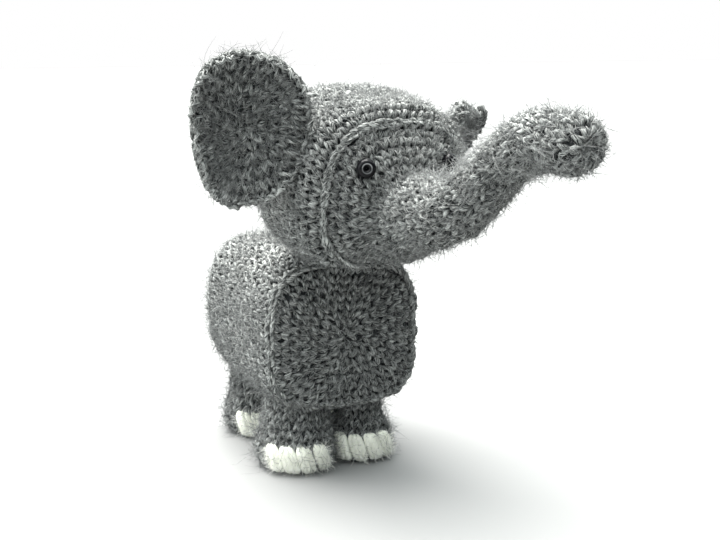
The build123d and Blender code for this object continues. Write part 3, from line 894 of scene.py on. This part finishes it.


# ---------------------------------------------------------------- Eyes
# Two round glass beads, glossy black, each with its hole facing out. One black thread joins
# them through the head and pulls them a little into the face.
# A thin metallic grey ring round each hole is a painted highlight, standing in for the glint on the rim of the
# hole
glass = bpy.data.materials.new("Black_glass")
glass.use_nodes = True
glass_shader = glass.node_tree.nodes["Principled BSDF"]
glass_shader.inputs["IOR"].default_value = 1.5
glass_shader.inputs["Specular IOR Level"].default_value = 0.15
smear_place = add(glass.node_tree, "ShaderNodeTexCoord")
smear = add(glass.node_tree, "ShaderNodeTexNoise", {"Vector": smear_place.outputs["Object"], "Scale": 900.0})
smear_range = add(
    glass.node_tree, "ShaderNodeMapRange", {"Value": smear.outputs["Fac"], "To Min": 0.05, "To Max": 0.12}
)
# Painted highlight: a band of metallic grey round each hole, whose reflections stand in for the glint on the
# hole's rim
highlight_ring = add(glass.node_tree, "ShaderNodeAttribute", attribute_name="Painted_highlight").outputs["Fac"]
highlight_ring_colour = add(
    glass.node_tree, "ShaderNodeMix",
    {"Factor": highlight_ring, "A": (0.004, 0.004, 0.005, 1), "B": (0.42, 0.43, 0.44, 1)}, data_type="RGBA",
)
link(glass.node_tree, smear_range.outputs["Result"], glass_shader.inputs["Roughness"])
link(glass.node_tree, highlight_ring, glass_shader.inputs["Metallic"])
link(glass.node_tree, highlight_ring_colour.outputs["Result"], glass_shader.inputs["Base Color"])
BEAD_RADIUS = 2.5
BEAD_HOLE = 0.18
BEAD_HALF_LENGTH = 1.45
BEAD_SECTION, BEAD_AROUND = 120, 48
# The painted highlight, a metallic grey band round the hole: its middle and its half width, in radians round
# the section
HIGHLIGHT_MIDDLE, HIGHLIGHT_SPREAD = np.pi / 2 + 0.1, 0.08
for side, mirror in (("right", -1), ("left", 1)):
    low, high = (np.array(corner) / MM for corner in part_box(f"eye_{side}"))
    centre = (low + high) / 2
    facing_out = HEAD_AXES @ unit(np.array([mirror * 0.40, -0.86, 0.22]))
    sideways = unit(np.cross(facing_out, [0, 0, 1]))
    upwards = np.cross(sideways, facing_out)
    around = 2 * np.pi * np.arange(BEAD_AROUND) / BEAD_AROUND
    section = 2 * np.pi * np.arange(BEAD_SECTION) / BEAD_SECTION
    ring_radius, ring_half = (BEAD_RADIUS + BEAD_HOLE) / 2, (BEAD_RADIUS - BEAD_HOLE) / 2
    radius = ring_radius + ring_half * np.cos(section)
    depth = BEAD_HALF_LENGTH * np.sin(section)
    points = (
        centre
        + radius[:, None, None] * (np.cos(around)[:, None] * sideways + np.sin(around)[:, None] * upwards)
        + depth[:, None, None] * facing_out
    )
    mesh = bpy.data.meshes.new(f"eye_{side}_bead")
    index = np.arange(BEAD_SECTION * BEAD_AROUND).reshape(BEAD_SECTION, BEAD_AROUND)
    after = np.roll(index, -1, 0)
    quads = np.stack([index, after, np.roll(after, -1, 1), np.roll(index, -1, 1)], -1)
    mesh.from_pydata((points.reshape(-1, 3) * MM).tolist(), [], quads.reshape(-1, 4).tolist())
    mesh.polygons.foreach_set("use_smooth", np.ones(len(mesh.polygons), bool))
    # The band round the hole that the glass makes metallic grey as a painted highlight
    rim = mesh.attributes.new("Painted_highlight", "FLOAT", "POINT")
    ring = 0.9 * np.exp(-(((section - HIGHLIGHT_MIDDLE) / HIGHLIGHT_SPREAD) ** 2))
    rim.data.foreach_set("value", np.repeat(ring, BEAD_AROUND).astype(np.float32))
    mesh.materials.append(glass)
    bead = bpy.data.objects.new(f"eye_{side}_bead", mesh)
    scene.collection.objects.link(bead)
    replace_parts(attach(bead, "head"), f"eye_{side}")

thread_paint = bpy.data.materials.new("Black_thread")
thread_paint.use_nodes = True
thread_tree = thread_paint.node_tree
thread_place = add(thread_tree, "ShaderNodeTexCoord")
twist = add(thread_tree, "ShaderNodeTexWave", {"Vector": thread_place.outputs["Object"], "Scale": 900.0})
thread_colour = add(
    thread_tree, "ShaderNodeMix",
    {"Factor": twist.outputs["Fac"], "A": (0.006, 0.006, 0.007, 1), "B": (0.03, 0.03, 0.032, 1)},
    data_type="RGBA",
)
link(thread_tree, thread_colour.outputs["Result"], thread_tree.nodes["Principled BSDF"].inputs["Base Color"])
thread_tree.nodes["Principled BSDF"].inputs["Roughness"].default_value = 0.6
thread_node = bpy.data.objects["eye_thread"]
thread_node.data.materials.clear()
thread_node.data.materials.append(thread_paint)


# ---------------------------------------------------------------- Trunk
# A long tapering tube on a wire, worked from its blunt tip to its wide root and sewn over the
# middle of the face. It bends at two places, so it is two covers that meet between them.
# Knots of its middle line: length out from the face, height above the eyes' level, radius
TRUNK_LINE = np.array([
    (20.0, -6.8, 11.4),
    (33.5, -1.0, 9.6),
    (45.4, 3.4, 8.1),
    (54.7, 11.6, 7.0),
    (62.9, 21.0, 6.5),
    (72.6, 27.9, 6.8),
    (82.6, 29.7, 6.7),
])


def smooth_line(knots, per_span):
    """A smooth line through knots: a cubic in each span, with slopes from the next-door knots."""
    slopes = np.gradient(knots, axis=0)
    t = np.linspace(0, 1, per_span, endpoint=False)[:, None]
    spans = [
        (1 + 2 * t) * (1 - t) ** 2 * a + t * (1 - t) ** 2 * p + t * t * (3 - 2 * t) * b + t * t * (t - 1) * q
        for a, b, p, q in zip(knots[:-1], knots[1:], slopes[:-1], slopes[1:])
    ]
    return np.concatenate(spans + [knots[-1:]])


SPAN_STEPS = 24
BEND_REACH = 8.5
trunk_line = smooth_line(TRUNK_LINE, SPAN_STEPS)
trunk_run = np.r_[0, np.cumsum(np.linalg.norm(np.diff(trunk_line[:, :2], axis=0), axis=1))]
TRUNK_LENGTH = trunk_run[-1]
knot_run = trunk_run[::SPAN_STEPS]


def trunk_middle(from_root):
    """The middle line of the trunk at a length from its root, and its direction there."""
    lengthwise = np.gradient(trunk_line[:, :2], trunk_run, axis=0)
    inside = np.clip(from_root, 0, TRUNK_LENGTH)
    middle = np.stack([np.interp(inside, trunk_run, trunk_line[:, k]) for k in (0, 1)], -1)
    heading = unit(np.stack([np.interp(inside, trunk_run, lengthwise[:, k]) for k in (0, 1)], -1))
    return middle + heading * (from_root - inside)[..., None], heading


def trunk_place(out, share, along):
    """The trunk: rings across its middle line; along is minus the length from the root."""
    from_root = -np.asarray(along, float)
    out, share, from_root = np.broadcast_arrays(out, share, from_root)
    middle, heading = trunk_middle(from_root)
    radius = (np.interp(from_root, trunk_run, trunk_line[:, 2]) - PROUD) * out
    angle = 2 * np.pi * share
    x, up = radius * np.cos(angle), radius * np.sin(angle)
    local = np.stack([x, -middle[..., 0] + up * heading[..., 1], middle[..., 1] + up * heading[..., 0]], -1)
    return from_head(local + 0.35 * lumps(local, 9.0, 9)[..., None] * unit(np.stack([x, 0 * x, up], -1)))


t = np.linspace(0, 1, 24)
quarter = t * np.pi / 2
tip = TRUNK_LINE[-1, 2] - PROUD
trunk_outline = np.concatenate([
    np.stack([0.55 * t, -TRUNK_LENGTH - tip * (0.52 + 0.40 * np.sin(quarter) ** 2)], -1),
    np.stack([0.55 + 0.45 * np.sin(quarter), -TRUNK_LENGTH - 0.92 * tip * np.cos(quarter) ** 0.9], -1)[1:],
    np.stack([1 + 0 * t, -TRUNK_LENGTH * (1 - t)], -1)[1:],
])
trunk_skin = Skin(trunk_outline, trunk_place, tip)
HALF_WAY = trunk_skin.length - (knot_run[2] + knot_run[4]) / 2
ROOT_END = trunk_skin.length - 1.0


def off_the_face(points):
    """True where the trunk's stitches are outside the head's face panel."""
    local = to_head(points)
    across, up = (np.abs(local[..., k] / HEAD_HALF[k]) ** HEAD_POWER for k in (0, 2))
    ring = (across + up) ** (1 / HEAD_POWER)
    return local[..., 1] < PANEL_FRONT + PANEL_BULGE * (ring / PANEL) ** 2 + 1.2


def bend_zone(from_root, reach):
    """Two points on the trunk's middle line, reach before and after a bend."""
    middle, _ = trunk_middle(np.array([from_root - reach, from_root + reach]))
    return from_head(np.stack([0 * middle[:, 0], -middle[:, 0], middle[:, 1]], -1))


dress(
    "trunk_lower", trunk_skin, HALF_WAY, ROOT_END, 51, "head",
    keep=off_the_face, hairs=3600,
    nodes=("trunk_cover_root", "trunk_stuffing_root", "trunk_wire_root"),
    blend=("head", "trunk_mid", *bend_zone(knot_run[2], BEND_REACH)),
)
dress(
    "trunk_upper", trunk_skin, 1.0, HALF_WAY, 53, "trunk_tip", hairs=3600,
    nodes=(
        "trunk_cover_mid", "trunk_stuffing_mid", "trunk_wire_mid",
        "trunk_cover_tip", "trunk_stuffing_tip", "trunk_wire_tip",
    ),
    blend=("trunk_mid", "trunk_tip", *bend_zone(knot_run[4], BEND_REACH)),
)


# ---------------------------------------------------------------- Trunk seam
# Slanting sewing stitches in the same wool hold the wide end of the trunk to the face.


def sewing(start, finish, lift, outward, rng):
    """Sewing stitches from start to finish, lifted outwards in a half sine; yarns and tones."""
    t = np.linspace(0, 1, 7)
    paths = start[:, None] * (1 - t[None, :, None]) + finish[:, None] * t[None, :, None]
    paths = paths + (lift * np.sin(np.pi * t))[None, :, None] * outward
    thick = 0.5 + 0.1 * np.sin(np.pi * t) + np.zeros((len(paths), 1))
    yarns = tubes(paths, outward + 0 * paths, thick, 6, rng.uniform(0, 400, len(paths)))
    return yarns, 0, rng.uniform(0, 1, len(paths))


rng = np.random.default_rng(61)
SEAM_COUNT = 26
share = (np.arange(SEAM_COUNT) + rng.uniform(-0.15, 0.15, SEAM_COUNT)) / SEAM_COUNT
runs = np.linspace(trunk_skin.length - 22, ROOT_END, 90)
outside = off_the_face(trunk_skin.at(runs[:, None], share[None, :]))
seam_run = runs[np.maximum(outside.shape[0] - 1 - np.argmax(outside[::-1], axis=0), 0)]
_, _, outward = trunk_skin.axes(seam_run, share)
start = trunk_skin.at(seam_run - 2.2, share) + 0.2 * outward
finish = trunk_skin.at(seam_run + 0.6, share + 0.5 / SEAM_COUNT)
seam = sewing(start, finish, 1.5, outward[:, None], rng)
trunk_seam = make_piece("trunk_seam_stitches", [seam], [charcoal_wool])
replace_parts(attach(trunk_seam, "head"), "trunk_seam")


# ---------------------------------------------------------------- Ears
# Each ear is two round pads of stitches joined at a thick rim, cupped forwards, and sewn by its
# inner edge to the side of the head.
WHIPS = 9
EAR_SIZES = {
    # swept back, lean, hollow side; middle, reach out and in, half height, height of the middle;
    # slant of the outer edge, twist of the top and the bottom, squareness, extra height at the root
    "right": (27.0, 10.0, 1, 10.0, 12.4, 16.0, 18.7, 2.1, 0.22, 0.0, 0.0, 2.2, 0.0),
    "left": (40.0, 2.0, -1, 9.0, 11.0, 18.0, 14.9, 0.6, 0.28, 0.012, 0.05, 3.0, 11.0),
}
for side, (swept, lean, hollow, *shape) in EAR_SIZES.items():
    mirror = -1 if side == "right" else 1
    hinge = joint_at[f"ear_flap_{side}"]
    upward = joint_along[f"ear_flap_{side}"]
    turn = np.radians(180 - swept if side == "right" else swept)
    tilt = np.radians(-mirror * lean)
    flat = np.array([np.cos(turn) * np.cos(tilt), np.sin(turn), -np.cos(turn) * np.sin(tilt)])
    along_ear = HEAD_AXES @ flat
    forward = hollow * np.cross(upward, along_ear)

    def ear_place(out, share, along, hinge=hinge, upward=upward, along_ear=along_ear, forward=forward,
                  hollow=hollow, shape=shape):
        """An oval about a point out from the hinge, cupped, with its rim curled forwards."""
        middle, reach_out, reach_in, half, rise, slant, top_twist, low_twist, power, top_fill = shape
        c, s = squared_ring(share, power)
        out, c, s, along = np.broadcast_arrays(out, c, s, along)
        tall = -hollow * half * out * s
        tall = tall + top_fill * np.clip(tall / half, 0, 1) * np.clip(-c * out, 0, 1)
        across = middle + np.where(c > 0, reach_out, reach_in) * out * c + slant * tall * np.maximum(c, 0)
        outer = np.clip(across / (middle + reach_out), -0.4, 1)
        cup = 3.0 * (across - middle) ** 2 / 225 + 3.2 * (tall / half) ** 2 - 2.8
        rim = 2.2 * np.clip(out - 0.70, 0, 1) / 0.3 * np.clip(outer + 0.2, 0, 1)
        twist = np.maximum(across, 0) * np.where(tall > 0, top_twist, low_twist) * tall
        points = (
            hinge
            + across[..., None] * along_ear
            + (tall + rise)[..., None] * upward
            + (cup + rim + twist + along)[..., None] * forward
        )
        return points + 0.3 * lumps(points, 10.0, 12)[..., None] * forward

    t = np.linspace(0, 1, 20)
    ear_outline = np.concatenate([
        np.stack([0.95 * t, 0.55 + 0 * t], -1),
        np.stack([0.95 + 0.05 * np.sin(t * np.pi), 0.55 * np.cos(t * np.pi)], -1)[1:],
        np.stack([0.95 * (1 - t), -0.55 + 0 * t], -1)[1:],
    ])
    ear_skin = Skin(ear_outline, ear_place, (shape[1] + shape[3]) / 2)
    dress(
        f"ear_{side}", ear_skin, 0.9, ear_skin.length - 0.9, 71 + mirror, f"ear_{side}",
        keep=lambda points: (points - hinge) @ along_ear > -7.5,
        nodes=(f"ear_{side}",), hairs=5200, chains=(ear_skin.length / 2,),
        blend=("head", f"ear_{side}", hinge - 2.5 * along_ear, hinge + 3.5 * along_ear),
    )
    rng = np.random.default_rng(81 + mirror)
    spots = shape[4] + np.linspace(-0.62, 0.62, WHIPS) * shape[3] + rng.normal(0, 0.2, WHIPS)
    front = hinge - 3.0 * along_ear + np.outer(spots, upward)
    inner = front - 2.6 * along_ear + 0.8 * upward + 0.9 * forward
    outer_end = front + 1.9 * along_ear + 0.6 * forward
    whips = sewing(inner, outer_end, 1.6, forward, rng)
    ear_seam = make_piece(f"ear_seam_{side}_stitches", [whips], [charcoal_wool])
    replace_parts(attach(ear_seam, "head"), f"ear_seam_{side}")


# ---------------------------------------------------------------- Tail
# A cord of three twisted yarns with a cut tuft, knotted through the rump so that it hangs free.
tail_low = np.array(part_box("tail")[0]) / MM
tuft_low, tuft_high = (np.array(corner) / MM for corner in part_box("tail_tuft"))
TAIL_AT = joint_at["tail_swing"]
rng = np.random.default_rng(91)
t = np.linspace(0, 1, 40)
turn = 2 * np.pi * (2.6 * t[None, :] + np.arange(3)[:, None] / 3)
swell = 0.82 * np.clip(np.sin(np.pi * np.clip(t * 1.02 + 0.05, 0, 1)) * 3, 0.15, 1)
cord_z = TAIL_AT[2] + 0.9 + (tail_low[2] - 0.6 - TAIL_AT[2] - 0.9) * t
paths = np.stack([
    TAIL_AT[0] + swell * np.cos(turn), TAIL_AT[1] + swell * np.sin(turn), np.broadcast_to(cord_z, turn.shape)
], -1)
cord = tubes(paths, np.array([0.1, 0.99, 0.0]) + 0 * paths, 0.88 + 0 * turn, 8, rng.uniform(0, 400, 3))
tail_cord = make_piece("tail_cord", [(cord, 0, np.array([0.2, 0.6, 0.4]))], [charcoal_wool])
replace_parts(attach(tail_cord, "tail"), "tail")
STRANDS = 34
t = np.linspace(0, 1, 7)
angle = rng.uniform(0, 2 * np.pi, STRANDS)
spread = np.sqrt(rng.uniform(0.05, 1, STRANDS))
fan = np.sin(np.pi * np.clip(t, 0, 1) * 0.75) * 1.6 + 0.7
radial = spread[:, None] * fan
sway = rng.uniform(-0.4, 0.4, (STRANDS, 1)) * t**2
length = rng.uniform(0.82, 1.0, STRANDS)[:, None] * (tuft_high[2] - tuft_low[2] + 0.8)
paths = np.stack([
    TAIL_AT[0] + radial * np.cos(angle[:, None] + sway),
    TAIL_AT[1] + radial * np.sin(angle[:, None] + sway),
    tuft_high[2] + 0.8 - length * t,
], -1)
thick = 0.34 * np.array([1, 1, 1, 1, 0.9, 0.7, 0.4]) + np.zeros((STRANDS, 1))
beside = unit(rng.normal(size=(STRANDS, 1, 3))) + 0 * paths
strands = tubes(paths, beside, thick, 5, rng.uniform(0, 400, STRANDS))
WRAP_RADIUS = 1.75
wrap_turn = np.linspace(0, 2 * np.pi * 2.4, 40)
wrap = np.stack([
    TAIL_AT[0] + WRAP_RADIUS * np.cos(wrap_turn),
    TAIL_AT[1] + WRAP_RADIUS * np.sin(wrap_turn),
    tuft_high[2] - 0.2 - 0.35 * wrap_turn / 6.3 * 2,
], -1)[None]
band = tubes(wrap, np.array([0, 0, 1.0]) + 0 * wrap, 0.42 + 0 * wrap[..., 0], 6, np.array([7.0]))
tuft = make_piece(
    "tail_tuft_strands", [(strands, 0, rng.uniform(0, 1, STRANDS)), (band, 0, np.array([0.5]))], [charcoal_wool]
)
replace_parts(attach(tuft, "tail"), "tail_tuft")
knot_low, knot_high = (np.array(corner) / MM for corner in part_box("tail_knot"))
knot_middle = (knot_low + knot_high) / 2
loop_turn = np.linspace(0, 2 * np.pi * 1.9, 36)
loops = np.stack([
    knot_middle[0] + 0.85 * np.cos(loop_turn),
    np.linspace(knot_low[1] - 2.2, knot_high[1] - 0.3, 36),
    knot_middle[2] + 0.85 * np.sin(loop_turn),
], -1)[None]
knot = tubes(loops, np.array([0, 1.0, 0.01]) + 0 * loops, 0.5 + 0 * loops[..., 0], 7, np.array([3.0]))
tail_knot = make_piece("tail_knot_yarn", [(knot, 0, np.array([0.5]))], [charcoal_wool])
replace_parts(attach(tail_knot, "torso"), "tail_knot")
